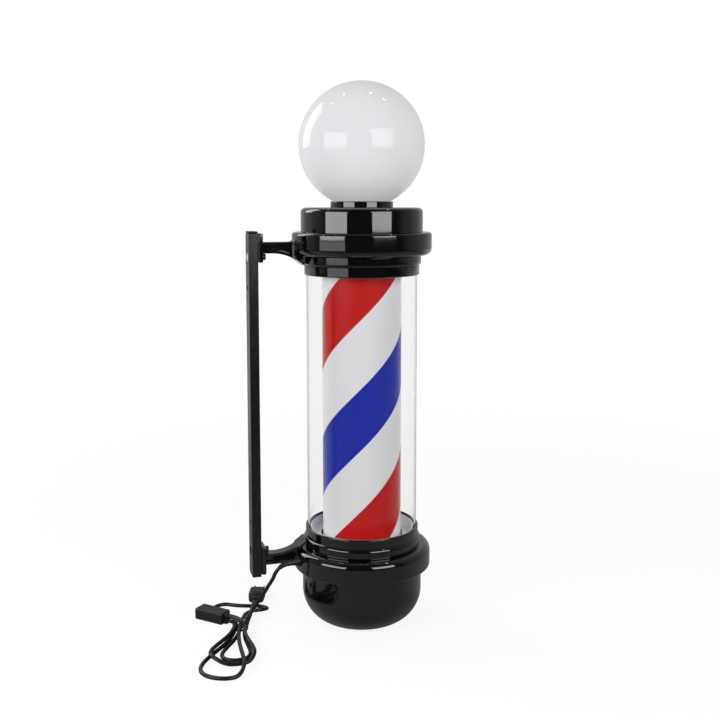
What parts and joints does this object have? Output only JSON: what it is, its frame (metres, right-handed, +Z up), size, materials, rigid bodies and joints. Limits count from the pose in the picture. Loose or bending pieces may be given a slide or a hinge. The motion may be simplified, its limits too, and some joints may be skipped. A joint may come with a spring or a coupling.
{
  "type": "barber pole",
  "caption": "Upright barber pole with an opal ball lamp, a turning red, white and blue striped drum in a clear tube, black caps, a wall bar on two arms and a bundled mains lead with a switch.",
  "frame": {"origin": "middle of the flat foot under the bowl, on the surface that the pole stands on", "axes": "+Z up along the drum's axis, +Y from the axis to the wall behind the bar, +X to the right of someone who faces the wall"},
  "size_m": [0.2522, 0.3175, 0.701],
  "materials": {
    "black_enamel": "gloss",
    "collar_enamel": "gloss",
    "bar_enamel": "satin",
    "bolt_black": "satin",
    "black_moulding": "satin",
    "switch_moulding": "satin",
    "rocker_moulding": "gloss",
    "plug_moulding": "satin",
    "cord_jacket": "satin",
    "tie_plastic": "satin",
    "opal_acrylic": "gloss",
    "clear_acrylic": "clear",
    "drum_white": "satin",
    "red_film": "gloss",
    "blue_film": "gloss",
    "plate_plastic": "satin",
    "bush_nylon": "satin",
    "gear_acetal": "satin",
    "zinc_steel": "satin",
    "motor_case": "satin",
    "brass": "satin",
    "gasket_rubber": "matte",
    "tray_white": "satin",
    "carrier_aluminium": "satin",
    "strip_board": "satin",
    "holder_black": "satin",
    "bulb_diffuser": "satin",
    "driver_case": "satin",
    "terminal_plastic": "satin",
    "wire_jacket": "satin"
  },
  "bodies": {
    "housing": {"base_cap": "black_enamel", "lower_bracket": "black_enamel", "lower_collar": "collar_enamel", "lower_gasket": "gasket_rubber", "lower_tray": "tray_white", "outer_tube": "clear_acrylic", "upper_tray": "tray_white", "upper_gasket": "gasket_rubber", "upper_collar": "collar_enamel", "upper_bracket": "black_enamel", "top_cap": "black_enamel", "globe_gallery": "black_enamel", "globe": "opal_acrylic", "wall_bar": "bar_enamel", "bar_end_caps": "black_moulding", "bar_bolts": "bolt_black", "bar_nuts": "zinc_steel", "column": "zinc_steel", "column_nuts": "zinc_steel", "thrust_washer": "brass", "retaining_collar": "zinc_steel", "motor_plate": "zinc_steel", "motor_body": "motor_case", "motor_screws": "zinc_steel", "lamp_carrier": "carrier_aluminium", "lamp_strips": "strip_board", "lamp_holder": "holder_black", "bulb": "bulb_diffuser", "lamp_driver": "driver_case", "terminal_block": "terminal_plastic", "inner_wires": "wire_jacket", "cord_inside": "cord_jacket", "cord_gland": "black_moulding", "cord_lead": "cord_jacket", "cord_to_switch": "cord_jacket", "cord_to_plug": "cord_jacket", "cord_tie": "tie_plastic", "switch_body": "switch_moulding", "plug_body": "plug_moulding", "plug_blades": "brass"},
    "roller": {"drum": "drum_white", "red_stripe": "red_film", "blue_stripe": "blue_film", "drum_lower_plate": "plate_plastic", "drum_upper_plate": "plate_plastic", "drive_gear": "gear_acetal", "lower_bush": "bush_nylon", "upper_bush": "bush_nylon"},
    "pinion_shaft": {"motor_shaft": "zinc_steel", "pinion": "gear_acetal"},
    "rocker": {"switch_rocker": "rocker_moulding"}
  },
  "joints": [
    {"name": "roller_spin", "type": "hinge", "parent": "housing", "child": "roller", "pos_m": [0, 0, 0.105], "axis": [0, 0, 1], "continuous": true},
    {"name": "pinion_spin", "type": "hinge", "parent": "housing", "child": "pinion_shaft", "pos_m": [0, -0.048, 0.105], "axis": [0, 0, 1], "continuous": true},
    {"name": "rocker_tilt", "type": "hinge", "parent": "housing", "child": "rocker", "pos_m": [0.04628, 0.18958, 0.0078], "axis": [0, 0, 1], "range_deg": [0, 16]}
  ],
  "couplings": [
    {"joint": "pinion_spin", "follows": "roller_spin", "ratio": -3}
  ]
}
